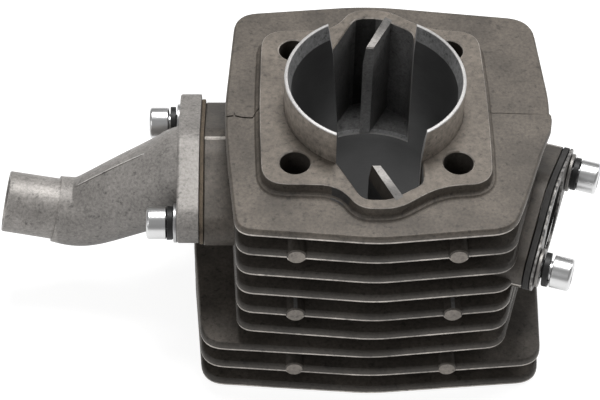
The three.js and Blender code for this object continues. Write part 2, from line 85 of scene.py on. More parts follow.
# Left and right sides of the liner's two slots at the passage floor, at the pad and at the top.
SLOT_SIDES = {
    1: [(-9.2, 13.3), (-11.8, 13.1), (-13.6, 13.5)],
    -1: [(-12.0, 13.2), (-12.0, 13.1), (-12.1, 14.2)],
}
SLOT_FROM = 15.0
SLOT_TO = 45.0

INTAKE_FACE = 51.3
INTAKE_Z = -29.5
INTAKE_REACH = 21.4
INTAKE_PORT = 10.5
EXHAUST_TURN = math.radians(18.5)
EXHAUST_FACE = 55.4
EXHAUST_Z = -30.5
EXHAUST_REACH = 20.7
EXHAUST_PORT = 12.0
SCREW_HOLE = 3.3
SCREW_HOLE_DEPTH = 16.0

# The line of flash on top of the intake boss: where it lies across the boss, its height and half its width.
FLASH_Y = 0.0
FLASH_TOP = -14.25
FLASH_HALF_WIDTH = 0.22

# Two-bolt flanges: end radius, middle radius, and how far the ends lie above the middle.
INTAKE_BOSS = (6.7, 15.1, -0.2)
EXHAUST_BOSS = (7.3, 14.8, 0)
BOSS_HALF_WIDTH = 30.0  # a little more than either boss reaches
BOSS_HALF_HEIGHT = 16.0
MANIFOLD_FLANGE = (7.6, 15.6, 2.2)
INTAKE_GASKET = (7, 15.2, 0.8)
EXHAUST_GASKET = (7.4, 15, 0)

UP = np.array([0.0, 0.0, 1.0])
ACROSS = np.array([1.0, 0.0, 0.0])

# Outlines: the corners' x, y and rounding.
PAD = [
    (-33.4, -32.4, 7), (-11.4, -32.9, 6), (-5.4, -42.1, 4), (5.4, -42.1, 4), (18.7, -32.9, 7),
    (33.4, -32.4, 7), (34.5, 0, 20), (33.4, 32.4, 7), (18.7, 32.9, 7), (5.4, 42.1, 4),
    (-5.4, 42.1, 4), (-11.4, 32.9, 6), (-33.4, 32.4, 7), (-34.5, 0, 20),
]
BULGE = [(-17.5, -24, 0), (-5.4, -42.1, 4), (5.4, -42.1, 4), (31, -24, 0)]
PASSAGE_SIDE = 14.4
PASSAGE_END = 38.6
PASSAGE = [
    (-PASSAGE_SIDE, -19, 0), (-4.6, -PASSAGE_END, 3), (3.6, -PASSAGE_END, 3), (13.5, -32.2, 2.5),
    (13.5, -19, 0),
]
RIB = [(-2.4, -23, 0), (5.0, -39.2, 0), (7.2, -37.6, 0), (-0.1, -23, 0)]
RIB_FOOT = [(-3.1, -23, 0), (4.6, -39.4, 0), (7.4, -37.4, 0), (0.0, -23, 0)]
DECK = [
    (-41.3, -46.5, 5), (0, -50.3, 5), (39.2, -46.2, 6), (43.3, -35.5, 5), (50.6, -13.4, 2),
    (53.6, -5.6, 1), (54.4, -0.6, 0.8), (53.7, 1.2, 0.6), (54.1, 7, 5), (51.8, 43.2, 8), (0, 49.5, 10),
    (-42.2, 45.3, 7), (-45.2, 2, 8), (-44.2, -16, 8),
]
NARROW_RIGHT = [(0, -50.1, 5), (40.3, -45.8, 5), (49.6, -14, 3), (51.6, 43.2, 8), (0, 49.5, 10)]
NARROW_LEFT = [(0, 49.5, 10), (-41.2, 46.4, 6), (-43.4, 0, 8), (-41.2, -46.2, 5), (0, -50.1, 5)]
WIDE_RIGHT = [(0, -50.3, 6), (53, -45.8, 7), (55.4, 0, 10), (53, 46, 7), (0, 49.5, 10)]
WIDE_LEFT = [(0, 49.5, 10), (-52.2, 46.6, 7), (-55.8, 0, 10), (-52.2, -46.2, 7), (0, -50.3, 6)]
HEAD_PAD = [(-35, -35, 12), (35, -35, 12), (35, 35, 12), (-35, 35, 12)]

# Lines in the deck's skin, as x and y.
DECK_LAP = [
    (-46.5, -0.7), (-43.8, -0.9), (-42.3, -0.6), (-42.1, 0.7), (-41.7, -0.7), (-39.5, -1.3), (-36.5, -1.5),
    (-36.1, -0.6), (-35.4, 0.6), (-34.2, 2.2),
]
DECK_SEAM = [(35.5, 0.65), (38.5, 0.75), (44.5, 0.45), (50.6, 0.25), (55.5, 0.1)]
LAP_WIDTH = 0.6
SEAM_WIDTH = 0.22
STEP_RISE = 0.16

# A fin's edge: how far each line round it stands out, and its height above the fin's underside.
FIN_FACE = [
    (-0.3, -0.35), (-0.08, -0.25), (0, -0.05), (0, FIN_EDGE), (-0.06, 1.2), (-0.22, 1.7), (-0.5, 2.1),
    (-0.9, FIN_THICKNESS),
]

FLANGE_BOTTOM = 1.4
FLANGE_TOP = 8.1
FLARE_LENGTH = 1.1

# Stations of the manifold duct: distance from the intake face, height, outer radius, inner radius.
OUTER, INNER = 2, 3
DUCT = [
    (2, 0, 15, 10.5), (6, -1.5, 14.8, 10.5), (10.7, -3.6, 14.3, 10.3), (15.7, -6.1, 13.6, 9.9),
    (21.7, -9.2, 12.9, 9.5), (27.7, -12.6, 12.3, 9.1), (33.7, -16, 11.7, 8.7), (37.7, -17.8, 11.3, 8.4),
    (41.2, -18.4, 11, 8.1), (44.6, -17.9, 10.8, 7.9), (47.7, -17.1, 10.5, 7.8),
]
TUBE_END = (63.1, -13.5)
BEND_REACH = 1.5  # the duct's rings turn with the mean direction over this many stations either way
RIDGE_FROM = 2.4  # stations between which the duct's parting line shows
RIDGE_TO = 6.9

# ---- Curves and solids, in millimetres --------------------------------------------------------------


def outline(corners, steps=8):
    """Points round an outline of corners (x, y, radius), each corner rounded."""
    at = np.array([c[:2] for c in corners], float)
    points = []
    for i, (x, y, radius) in enumerate(corners):
        before, here, after = at[i - 1], at[i], at[(i + 1) % len(at)]
        if not radius:
            points.append(here)
            continue
        start = here + radius * (before - here) / np.linalg.norm(before - here)
        end = here + radius * (after - here) / np.linalg.norm(after - here)
        for t in np.linspace(0, 1, steps + 1):
            points.append((1 - t) ** 2 * start + 2 * t * (1 - t) * here + t * t * end)
    return np.array(points)


def oval(reach, end_radius, middle_radius, lift, steps=20):
    """Outline of a two-bolt flange: a middle circle and two end circles, joined by tangents."""
    tilt = math.atan2(lift, reach)
    turn = math.acos((middle_radius - end_radius) / math.hypot(reach, lift))
    arcs = [
        (reach, lift, end_radius, tilt - turn, tilt + turn),
        (0, 0, middle_radius, tilt + turn, math.pi - tilt - turn),
        (-reach, lift, end_radius, math.pi - tilt - turn, math.pi - tilt + turn),
        (0, 0, middle_radius, math.pi - tilt + turn, 2 * math.pi + tilt - turn),
    ]
    points = []
    for x, y, radius, start, end in arcs:
        for a in np.linspace(start, end, steps + 1):
            points.append((x + radius * math.cos(a), y + radius * math.sin(a)))
    return np.array(points)


def circle(radius, count):
    a = np.arange(count) * 2 * math.pi / count
    return np.stack([radius * np.cos(a), radius * np.sin(a)], 1)


def grown(points, distance):
    """The outline moved outwards by a distance, which is negative to move it inwards."""
    ahead = np.roll(points, -1, 0) - points
    ahead /= np.linalg.norm(ahead, axis=1)[:, None] + 1e-12
    normal = np.stack([ahead[:, 1], -ahead[:, 0]], 1)
    middle = normal + np.roll(normal, 1, 0)
    middle /= np.linalg.norm(middle, axis=1)[:, None]
    share = np.clip((middle * normal).sum(1), 0.5, 1)
    return points + middle * (distance / share)[:, None]


def at_height(points, z):
    return np.column_stack([points, np.full(len(points), float(z))])


def make(vertices, faces, place=None):
    """A closed solid as an object, its faces turned outwards."""
    mesh = bpy.data.meshes.new("solid")
    mesh.from_pydata([tuple(v) for v in vertices], [], faces)
    work = bmesh.new()
    work.from_mesh(mesh)
    bmesh.ops.remove_doubles(work, verts=work.verts, dist=1e-4)
    bmesh.ops.recalc_face_normals(work, faces=work.faces)
    work.to_mesh(mesh)
    work.free()
    if place is not None:
        mesh.transform(place)
    made = bpy.data.objects.new("solid", mesh)
    bpy.context.scene.collection.objects.link(made)
    return made


def loft(loops, ring=False, place=None):
    """A skin through loops of points. It is capped at both ends, or closes on itself as a ring."""
    count = len(loops[0])
    vertices = np.concatenate(loops)
    faces = []
    for i in range(len(loops) if ring else len(loops) - 1):
        a, b = i * count, (i + 1) % len(loops) * count
        for j in range(count):
            k = (j + 1) % count
            faces.append((a + j, a + k, b + k, b + j))
    if not ring:
        faces.append(tuple(reversed(range(count))))
        faces.append(tuple(range(len(vertices) - count, len(vertices))))
    return make(vertices, faces, place)


def slab(points, low, high, edge_low=0.0, edge_high=0.0, steps=4, place=None):
    """A plate between two heights whose edges are rounded to the radii given."""
    loops = []
    for radius, z, way in ((edge_low, low, 1), (edge_high, high, -1)):
        if not radius:
            loops.append(at_height(points, z))
            continue
        turns = np.linspace(0, math.pi / 2, steps + 1)
        rounded = [
            at_height(grown(points, -radius * (1 - math.sin(a))), z + way * radius * (1 - math.cos(a)))
            for a in turns
        ]
        loops += rounded if way > 0 else rounded[::-1]
    return loft(loops, place=place)


def turned(profile, count=64, ring=False, place=None):
    """A solid turned about Z through a profile of (radius, z)."""
    return loft([at_height(circle(r, count), z) for r, z in profile], ring, place)


def rectangle(low, high):
    return np.array([(low[0], low[1]), (high[0], low[1]), (high[0], high[1]), (low[0], high[1])], float)


def box(low, high):
    corners = rectangle(low, high)
    return loft([at_height(corners, low[2]), at_height(corners, high[2])])


def combine(target, tools, operation):
    for tool in tools:
        change = target.modifiers.new("change", "BOOLEAN")
        change.operation = operation
        change.solver = "MANIFOLD"
        change.object = tool
    graph = bpy.context.evaluated_depsgraph_get()
    mesh = bpy.data.meshes.new_from_object(target.evaluated_get(graph))
    target.modifiers.clear()
    target.data = mesh
    for tool in tools:
        bpy.data.objects.remove(tool)
    return target


def union(parts):
    return combine(parts[0], parts[1:], "UNION")


def face_frame(outward, distance, height):
    """Local Z looks out of the port face, local Y is up and local X runs along the face."""
    across = np.cross(UP, outward)
    place = Matrix.Identity(4)
    origin = outward * distance
    origin[2] = height
    for row in range(3):
        for column, axis in enumerate((across, UP, outward, origin)):
            place[row][column] = axis[row]
    return place


INTAKE_OUT = np.array([-1.0, 0.0, 0.0])
EXHAUST_OUT = np.array([math.cos(EXHAUST_TURN), -math.sin(EXHAUST_TURN), 0.0])
INTAKE = face_frame(INTAKE_OUT, INTAKE_FACE, INTAKE_Z)
EXHAUST = face_frame(EXHAUST_OUT, EXHAUST_FACE, EXHAUST_Z)


def section(centre, across, up, half_width, half_height, power=2.0, count=48):
    """A ring of a duct: an ellipse when power is 2, nearer to a rectangle when it is larger."""
    a = np.arange(count) * 2 * math.pi / count
    c, s = np.cos(a), np.sin(a)
    u = np.sign(c) * np.abs(c) ** (2 / power) * half_width
    v = np.sign(s) * np.abs(s) ** (2 / power) * half_height
    return np.array(centre) + np.outer(u, across) + np.outer(v, up)


def mirrored(corners):
    """The outline of the same thing on the other side of the bore."""
    return [(x, -y, radius) for x, y, radius in reversed(corners)]


# ---- Materials --------------------------------------------------------------------------------------


class Shader:
    """A principled material whose colour, roughness and bump come from noise in the row frame."""

    def __init__(self, name, metallic, roughness, specular=0.5):
        self.material = bpy.data.materials.new(name)
        self.material.use_nodes = True
        self.nodes = self.material.node_tree.nodes
        self.links = self.material.node_tree.links
        self.shader = self.nodes["Principled BSDF"]
        self.shader.inputs["Metallic"].default_value = metallic
        self.shader.inputs["Roughness"].default_value = roughness
        self.shader.inputs["Specular IOR Level"].default_value = specular
        self.place = self.nodes.new("ShaderNodeTexCoord").outputs["Object"]
        self.height = None

    def noise(self, per_mm, detail=3.0, stretch=(1, 1, 1), roughness=0.5):
        mapping = self.nodes.new("ShaderNodeMapping")
        mapping.inputs["Scale"].default_value = stretch
        self.links.new(self.place, mapping.inputs["Vector"])
        texture = self.nodes.new("ShaderNodeTexNoise")
        texture.inputs["Scale"].default_value = per_mm / MM
        texture.inputs["Detail"].default_value = detail
        texture.inputs["Roughness"].default_value = roughness
        self.links.new(mapping.outputs["Vector"], texture.inputs["Vector"])
        return texture.outputs["Fac"]

    def ramp(self, value, stops):
        ramp = self.nodes.new("ShaderNodeValToRGB")
        elements = ramp.color_ramp.elements
        for i, (position, colour) in enumerate(stops):
            element = elements[i] if i < 2 else elements.new(position)
            element.position = position
            element.color = (*colour, 1) if len(colour) == 3 else colour
        self.links.new(value, ramp.inputs["Fac"])
        return ramp.outputs["Color"]

    def mixed(self, a, b, share, mode="MIX"):
        mix = self.nodes.new("ShaderNodeMix")
        mix.data_type = "RGBA"
        mix.blend_type = mode
        for socket, value in ((mix.inputs[0], share), (mix.inputs[6], a), (mix.inputs[7], b)):
            if isinstance(value, bpy.types.NodeSocket):
                self.links.new(value, socket)
            else:
                socket.default_value = value
        return mix.outputs[2]

    def share_of(self, value, low, high):
        """How far a value has gone from low to high, from 0 to 1."""
        spread = self.nodes.new("ShaderNodeMapRange")
        spread.inputs["From Min"].default_value = low
        spread.inputs["From Max"].default_value = high
        self.links.new(value, spread.inputs["Value"])
        return spread.outputs["Result"]

    def by_slope(self, under, over):
        """Painted shade: a factor that goes from one value where the skin looks down to another where it
        looks up.
        """
        split = self.nodes.new("ShaderNodeSeparateXYZ")
        self.links.new(self.nodes.new("ShaderNodeTexCoord").outputs["Normal"], split.inputs[0])
        slope = self.share_of(split.outputs["Z"], -1.0, 1.0)
        return self.ramp(slope, [(0.15, grey(under)), (0.85, grey(over))])

    def by_height(self, below, above):
        """Painted shade deep in the bore: a factor that changes over a few millimetres at the transfer
        passages' floor.
        """
        split = self.nodes.new("ShaderNodeSeparateXYZ")
        self.links.new(self.place, split.inputs[0])
        height = self.share_of(split.outputs["Z"], (PASSAGE_FLOOR - 3) * MM, (PASSAGE_FLOOR + 9) * MM)
        return self.ramp(height, [(0.0, grey(below)), (1.0, grey(above))])

    def by_reach(self, inner, outer):
        """A factor that changes with the distance from the bore's centre, for faces near the top."""
        length = self.nodes.new("ShaderNodeVectorMath")
        length.operation = "LENGTH"
        self.links.new(self.place, length.inputs[0])
        reach = self.share_of(length.outputs["Value"], RIB_BRIGHT_TO * MM, (RIB_BRIGHT_TO + RIB_FADE) * MM)
        return self.ramp(reach, [(0.0, grey(inner)), (1.0, grey(outer))])

    def colour(self, value):
        self.links.new(value, self.shader.inputs["Base Color"])

    def rough(self, value, low, high):
        spread = self.nodes.new("ShaderNodeMapRange")
        spread.inputs["To Min"].default_value = low
        spread.inputs["To Max"].default_value = high
        self.links.new(value, spread.inputs["Value"])
        self.links.new(spread.outputs["Result"], self.shader.inputs["Roughness"])

    def bump(self, value, depth_mm, strength=1.0):
        bump = self.nodes.new("ShaderNodeBump")
        bump.inputs["Strength"].default_value = strength
        bump.inputs["Distance"].default_value = depth_mm * MM
        self.links.new(value, bump.inputs["Height"])
        if self.height is not None:
            self.links.new(self.height, bump.inputs["Normal"])
        self.height = bump.outputs["Normal"]
        self.links.new(self.height, self.shader.inputs["Normal"])


def grey(value, warmth=0.0):
    return (value * (1 + warmth), value, value * (1 - warmth))


SATIN = (0.42, 0.68)


def cast(name, dark, light, warmth, grain, depth, metallic=0.35, roughness=SATIN, shade=None, outward_fade=None):
    """Sand-textured casting: mottled, with fine flecks and small dark pits. Noise is in cycles per mm."""
    s = Shader(name, metallic, roughness[0])
    mottle = s.noise(0.07, 5, roughness=0.62)
    fine = s.noise(grain, 5, roughness=0.75)
    spots = s.noise(0.45, 4, roughness=0.7)
    base = s.ramp(mottle, [(0.35, grey(dark, warmth)), (0.65, grey(light, warmth))])
    flecks = s.ramp(fine, [(0.34, grey(0.66)), (0.5, grey(1.0)), (0.66, grey(1.3))])
    pits = s.ramp(spots, [(0.33, grey(0.55)), (0.42, grey(1.0))])
    colour = s.mixed(s.mixed(base, flecks, 1.0, "MULTIPLY"), pits, 1.0, "MULTIPLY")
    # Painted shade: darker where the skin looks down, lighter where it looks up.
    if shade:
        colour = s.mixed(colour, s.by_slope(*shade), 1.0, "MULTIPLY")
    # Changes with the distance from the bore's centre.
    if outward_fade:
        colour = s.mixed(colour, s.by_reach(*outward_fade), 1.0, "MULTIPLY")
    s.colour(colour)
    s.rough(fine, *roughness)
    s.bump(mottle, depth * 2.5, 0.5)
    s.bump(fine, depth)
    return s.material


def machined(name, dark, light, warmth, stretch, metallic, roughness, depth, painted_shade=None):
    """Milled or turned metal with fine tool lines along one direction."""
    s = Shader(name, metallic, roughness[0])
    lines = s.noise(1.4, 3, stretch, 0.6)
    cloud = s.noise(0.07, 4)
    base = s.ramp(cloud, [(0.3, grey(dark, warmth)), (0.7, grey(light, warmth))])
    streaks = s.ramp(lines, [(0.3, grey(0.93)), (0.7, grey(1.06))])
    colour = s.mixed(base, streaks, 1.0, "MULTIPLY")
    # Painted shade: darker below the transfer passages' floor.
    if painted_shade:
        colour = s.mixed(colour, s.by_height(*painted_shade), 1.0, "MULTIPLY")
    s.colour(colour)
    s.rough(lines, *roughness)
    s.bump(lines, depth)
    return s.material


def plated(name, value, roughness):
    """Smooth bright plating with faint clouds."""
    s = Shader(name, 1.0, roughness)
    cloud = s.noise(0.12, 2)
    s.colour(s.ramp(cloud, [(0.3, grey(value * 0.92)), (0.7, grey(value))]))
    s.rough(cloud, roughness, roughness + 0.08)
    return s.material


def crimped(name):
    """Thin sheet metal with black graphite showing through its worn spots."""
    s = Shader(name, 0.5, 0.5)
    spots = s.noise(0.55, 3, roughness=0.6)
    s.colour(s.ramp(spots, [(0.36, grey(0.03)), (0.5, grey(0.14, 0.06)), (0.7, grey(0.36, 0.03))]))
    s.rough(spots, 0.6, 0.35)
    s.bump(spots, 0.12)
    return s.material


CAST = cast("cast_body", 0.055, 0.095, 0.17, 1.0, 0.04)
# Painted shade: a darker copy of the casting on the upper rounding of the fins' rims.
CAST_RIM = cast("cast_rim", 0.031, 0.052, 0.14, 1.1, 0.04)
CAST_BOSS = cast("cast_boss", 0.05, 0.095, 0.15, 1.0, 0.05)
# Painted shade: a darker copy of the casting on the exhaust boss's flank.
CAST_FLANK = cast("cast_flank", 0.035, 0.07, 0.15, 1.0, 0.05)
CAST_DISC = cast("cast_disc", 0.13, 0.19, 0.12, 1.0, 0.04)
# Painted shade: darker copies of the casting on the fins' faces and between the fins.
CAST_FIN = cast("cast_fin", 0.045, 0.075, 0.14, 1.1, 0.05)
CAST_GAP = cast("cast_gap", 0.05, 0.08, 0.14, 1.1, 0.05)
# Painted highlight: bright bands along the lower edges of the deck and the fins, and on the flash line.
CAST_EDGE = cast("cast_edge", 0.26, 0.5, 0.08, 0.7, 0.05)
FIN_LINE = cast("fin_line", 0.2, 0.48, 0.08, 0.7, 0.05)
# Painted shade and painted light: a dark and a lit copy of the casting inside the passages and the seat.
CAST_HOLLOW = cast("cast_hollow", 0.04, 0.07, 0.02, 1.1, 0.04)
CAST_LIT = cast("cast_lit_hollow", 0.13, 0.2, 0.01, 1.0, 0.04)
# Painted shade: the manifold darker where its skin looks down, lighter where it looks up.
MANIFOLD_CAST = cast("cast_manifold", 0.19, 0.245, 0.06, 1.1, 0.03, shade=(0.58, 1.15))
# Painted highlight along the manifold's parting ridge.
MANIFOLD_LINE = cast("manifold_line", 0.4, 0.55, 0.04, 1.0, 0.02)
PAD_MILLED = cast("milled_face", 0.092, 0.13, 0.17, 0.5, 0.008, 0.3, (0.5, 0.62))
PAD_EDGE = cast("milled_edge", 0.14, 0.36, 0.1, 0.4, 0.03)
# The rib tops darken outwards with the distance from the bore's centre.
RIB_TOP = cast("rib_top", 0.2, 0.33, 0.05, 0.7, 0.02, 0.4, (0.4, 0.55), outward_fade=(1.0, 0.36))
RIM_BRIGHT = machined("bright_rim", 0.34, 0.46, 0.02, (0.5, 0.5, 0.5), 0.4, (0.4, 0.55), 0.01)
LEAD_IN = cast("turned_lead_in", 0.2, 0.3, 0.0, 0.9, 0.03, 0.4, (0.4, 0.55))
# Painted shade: the bore darker below the transfer passages' floor.
BORE_HONED = machined(
    "honed_bore", 0.12, 0.16, 0.0, (0.3, 0.3, 1.6), 0.75, (0.36, 0.5), 0.003, painted_shade=(0.45, 1.0)
)
SPIGOT_WALL = cast("turned_spigot", 0.19, 0.26, 0.14, 0.5, 0.015, 0.4, (0.42, 0.6))
# Painted shade: the tube darker where it looks down, lighter where it looks up.
TUBE_TURNED = cast("turned_tube", 0.22, 0.29, 0.06, 1.1, 0.03, 0.45, (0.42, 0.6), shade=(0.75, 1.1))
ZINC = plated("zinc_plated", 0.66, 0.26)
WASHER_ZINC = machined("zinc_washer", 0.42, 0.5, 0.0, (1, 1, 1), 0.9, (0.3, 0.42), 0.003)
DULL_ZINC = machined("dull_washer", 0.16, 0.24, 0.05, (1, 1, 1), 0.7, (0.4, 0.55), 0.004)
BLACK_STEEL = machined("black_steel", 0.012, 0.022, 0.0, (1, 1, 1), 0.5, (0.4, 0.55), 0.008)
PAPER = cast("paper_gasket", 0.055, 0.1, 0.3, 1.2, 0.03, 0.0, (0.8, 0.95))
GRAPHITE = cast("graphite_gasket", 0.008, 0.035, 0.05, 0.8, 0.06, 0.0, (0.75, 0.95))
FACING = crimped("gasket_facing")

# ---- Finishing a piece ------------------------------------------------------------------------------


SHARP_ANGLE = math.radians(32)
NORMAL_WEIGHT = 80


def piece(made, name, nodes, materials, surface=None):
    """Scales a solid to metres, gives it its materials and shading, and puts it in the frame.

    surface(face) says which of the materials a face has. Without it the whole piece has the first one.
    """
    made.name = name
    made.data.name = name
    made.data.materials.clear()
    for material in materials:
        made.data.materials.append(material)
    work = bmesh.new()
    work.from_mesh(made.data)
    bmesh.ops.dissolve_degenerate(work, dist=1e-4, edges=work.edges)
    for face in work.faces:
        face.smooth = True
        face.material_index = materials.index(surface(face)) if surface else 0
    for edge in work.edges:
        if len(edge.link_faces) == 2:
            a, b = edge.link_faces
            edge.smooth = a.material_index == b.material_index and edge.calc_face_angle(0) < SHARP_ANGLE
    work.to_mesh(made.data)
    work.free()
    made.data.transform(Matrix.Scale(MM, 4))
    weighted = made.modifiers.new("even_normals", "WEIGHTED_NORMAL")
    weighted.keep_sharp = True
    weighted.weight = NORMAL_WEIGHT
    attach(made, "root")
    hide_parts(*nodes)


# ---- Barrel casting ---------------------------------------------------------------------------------


def fin_corners(index):
    """The deck is the first fin. The lower fins are wider, from one fin sooner on the left."""
    if index == 0:
        return DECK
    left = WIDE_LEFT if index >= FIRST_WIDE_LEFT else NARROW_LEFT
    right = WIDE_RIGHT if index >= FIRST_WIDE_RIGHT else NARROW_RIGHT
    return right + left[1:-1]


def fin_plate(points, top):
    """A fin with a small rounding below, a flat band where the mould parts, and a large rounding above."""
    low = top - FIN_THICKNESS
    return loft([at_height(grown(points, out), low + z) for out, z in FIN_FACE])


def deck_groove(line, width):
    """A thin groove in the deck's skin: a lap on its left, and the mould's parting line on its right."""
    line = np.array(line)
    points = np.concatenate([line + (0, width / 2), line[::-1] - (0, width / 2)])
    return loft([at_height(points, DECK_TOP - 0.5), at_height(points, DECK_TOP + 1)])


def deck_step():
    """The mould's halves do not meet level on the right of the deck: the near half stands a little higher."""
    x0, x1, y0, y1 = 34.5, 54.0, -16.0, 0.15
    corners = [(x0, y0), (49.0, y0), (53.2, -5.8), (x1, -0.7), (53.6, y1), (x0, y1)]
    low = [(x, y, DECK_TOP - 0.6) for x, y in corners]
    high = [(x, y, DECK_TOP - 0.02 + STEP_RISE * (y - y0) / (y1 - y0)) for x, y in corners]
    return loft([np.array(low), np.array(high)])


def intake_duct():
    across = np.array([0.0, -1.0, 0.0])
    stations = [
        (-21, INTAKE_Z + 3, 11, 7, 4),
        (-32, INTAKE_Z + 1.5, 10.8, 8.4, 3),
        (-INTAKE_FACE + 6, INTAKE_Z, INTAKE_PORT, INTAKE_PORT, 2),
        (-INTAKE_FACE - 1, INTAKE_Z, INTAKE_PORT, INTAKE_PORT, 2),
    ]
    return loft([section((x, 0, z), across, UP, w, h, p) for x, z, w, h, p in stations])


def exhaust_duct():
    across = np.cross(UP, EXHAUST_OUT)
    stations = [
        (21, EXHAUST_Z - 10, 12, 7.5, 4),
        (32, EXHAUST_Z - 7, 12, 9, 3),
        (EXHAUST_FACE - 8, EXHAUST_Z - 1, EXHAUST_PORT, EXHAUST_PORT, 2),
        (EXHAUST_FACE + 1, EXHAUST_Z, EXHAUST_PORT, EXHAUST_PORT, 2),
    ]
    rings = []
    for distance, z, w, h, p in stations:
        centre = EXHAUST_OUT * distance + UP * z
        rings.append(section(centre, across, UP, w, h, p))
    return loft(rings)


def pad():
    points = outline(PAD)
    profile = [
        (0.0, 0.0), (0.2, -0.15), (0.4, -2.9), (0.55, -3.25), (0.9, -PAD_SIDE), (1.25, -3.55),
        (1.5, -3.75), (1.6, -4.0), (1.9, DECK_TOP), (1.9, DECK_TOP - 1),
    ]
    return loft([at_height(grown(points, out), z) for out, z in profile][::-1])


def stud_places():
    for x in (-STUD_HALF_PITCH, STUD_HALF_PITCH):
        for y in (-STUD_HALF_PITCH, STUD_HALF_PITCH):
            yield Matrix.Translation((x, y, 0))


def screw_places(face, reach):
    return [face @ Matrix.Translation((x, 0, 0)) for x in (-reach, reach)]


def ejector_pins():
    """The round marks on some fins' faces: pins that run through from the front to the rear."""
    reach, radius, bevel = EJECTOR_REACH, EJECTOR_RADIUS, 0.4
    profile = [
        (radius - bevel, -reach), (radius, -reach + bevel), (radius, reach - bevel), (radius - bevel, reach),
    ]
    pins = []
    for index in EJECTOR_FINS:
        height = DECK_TOP - index * FIN_PITCH - FIN_THICKNESS / 2
        for x in (-EJECTOR_X, EJECTOR_X):
            place = Matrix.Translation((x, 0, height)) @ Matrix.Rotation(math.pi / 2, 4, "X")
            pins.append(turned(profile, 32, place=place))
    return pins


def flash_line():
    low = (-INTAKE_FACE + 0.5, FLASH_Y - FLASH_HALF_WIDTH, FLASH_TOP - 1.5)
    high = (-40, FLASH_Y + FLASH_HALF_WIDTH, FLASH_TOP)
    return box(low, high)


def casting_solids():
    """What the casting is made of, before its holes are cut."""
    low, high = HEAD_FACE + 2, -1.5
    parts = [turned([(CORE_RADIUS, low), (CORE_RADIUS, high)], 96)]
    for index in range(FIN_COUNT):
        parts.append(fin_plate(outline(fin_corners(index)), DECK_TOP - index * FIN_PITCH))
    for place in stud_places():
        parts.append(turned([(STUD_COLUMN_RADIUS, low), (STUD_COLUMN_RADIUS, high)], 32, place=place))
    parts += ejector_pins()
    for corners in (BULGE, mirrored(BULGE)):
        parts.append(slab(outline(corners), PASSAGE_FLOOR - 8, DECK_TOP - 1, 2))
    parts.append(pad())
    parts.append(slab(outline(HEAD_PAD), HEAD_FACE, HEAD_FACE + 4, 0.4))
    parts.append(slab(oval(INTAKE_REACH, *INTAKE_BOSS), -26, 0, 0, 0.4, place=INTAKE))
    parts.append(slab(oval(EXHAUST_REACH, *EXHAUST_BOSS), -28, 0, 0, 0.4, place=EXHAUST))
    parts.append(flash_line())
    return parts


def casting_cuts():
    """The bore, the passages, the stud holes, the ports, the screw holes and the deck's lines."""
    cuts = [turned([(SEAT_RADIUS, HEAD_FACE - 1), (SEAT_RADIUS, 1)], 128)]
    for corners in (PASSAGE, mirrored(PASSAGE)):
        points = outline(corners)
        loops = [(0, PASSAGE_FLOOR), (0, -EDGE_BREAK), (EDGE_BREAK, 0), (EDGE_BREAK, 1)]
        cuts.append(loft([at_height(grown(points, out), z) for out, z in loops]))
    narrow, wide = STUD_HOLE_RADIUS, STUD_HOLE_RADIUS + EDGE_BREAK
    for place in stud_places():
        profile = [(narrow, HEAD_FACE - 1), (narrow, -EDGE_BREAK), (wide, 0), (wide, 1)]
        cuts.append(turned(profile, 48, place=place))
    cuts += [intake_duct(), exhaust_duct()]
    for face, reach in ((INTAKE, INTAKE_REACH), (EXHAUST, EXHAUST_REACH)):
        for place in screw_places(face, reach):
            cuts.append(turned([(SCREW_HOLE, -SCREW_HOLE_DEPTH), (SCREW_HOLE, 1)], 32, place=place))
    return cuts + [deck_groove(DECK_LAP, LAP_WIDTH), deck_groove(DECK_SEAM, SEAM_WIDTH)]


def passage_ribs():
    """The rib in each passage. Its inner edge follows the bore."""
    wide = BORE_RADIUS + 0.4
    ribs = []
    for corners, foot in ((RIB, RIB_FOOT), (mirrored(RIB), mirrored(RIB_FOOT))):
        rib = loft([
            at_height(outline(foot), PASSAGE_FLOOR - 0.5), at_height(outline(foot), -6),
            at_height(outline(corners), RIB_RISE),
        ])
        bore = turned([(BORE_RADIUS, PASSAGE_FLOOR - 1), (BORE_RADIUS, -0.4), (wide, 0.1), (wide, 1)], 128)
        seat = turned([(SEAT_RADIUS, PASSAGE_FLOOR - 1), (SEAT_RADIUS, PASSAGE_FLOOR + 0.3)], 128)
        ribs.append(combine(rib, [bore, seat], "DIFFERENCE"))
    return ribs


def barrel():
    body = combine(union(casting_solids()), casting_cuts(), "DIFFERENCE")
    body = combine(body, [deck_step(), *passage_ribs()], "UNION")
    materials = [
        CAST, PAD_MILLED, PAD_EDGE, RIB_TOP, CAST_HOLLOW, CAST_LIT, CAST_BOSS, CAST_FLANK, CAST_DISC,
        CAST_RIM, CAST_FIN, CAST_GAP, CAST_EDGE, FIN_LINE,
    ]
    piece(body, "barrel_casting", ["cylinder_barrel"], materials, casting_surface)


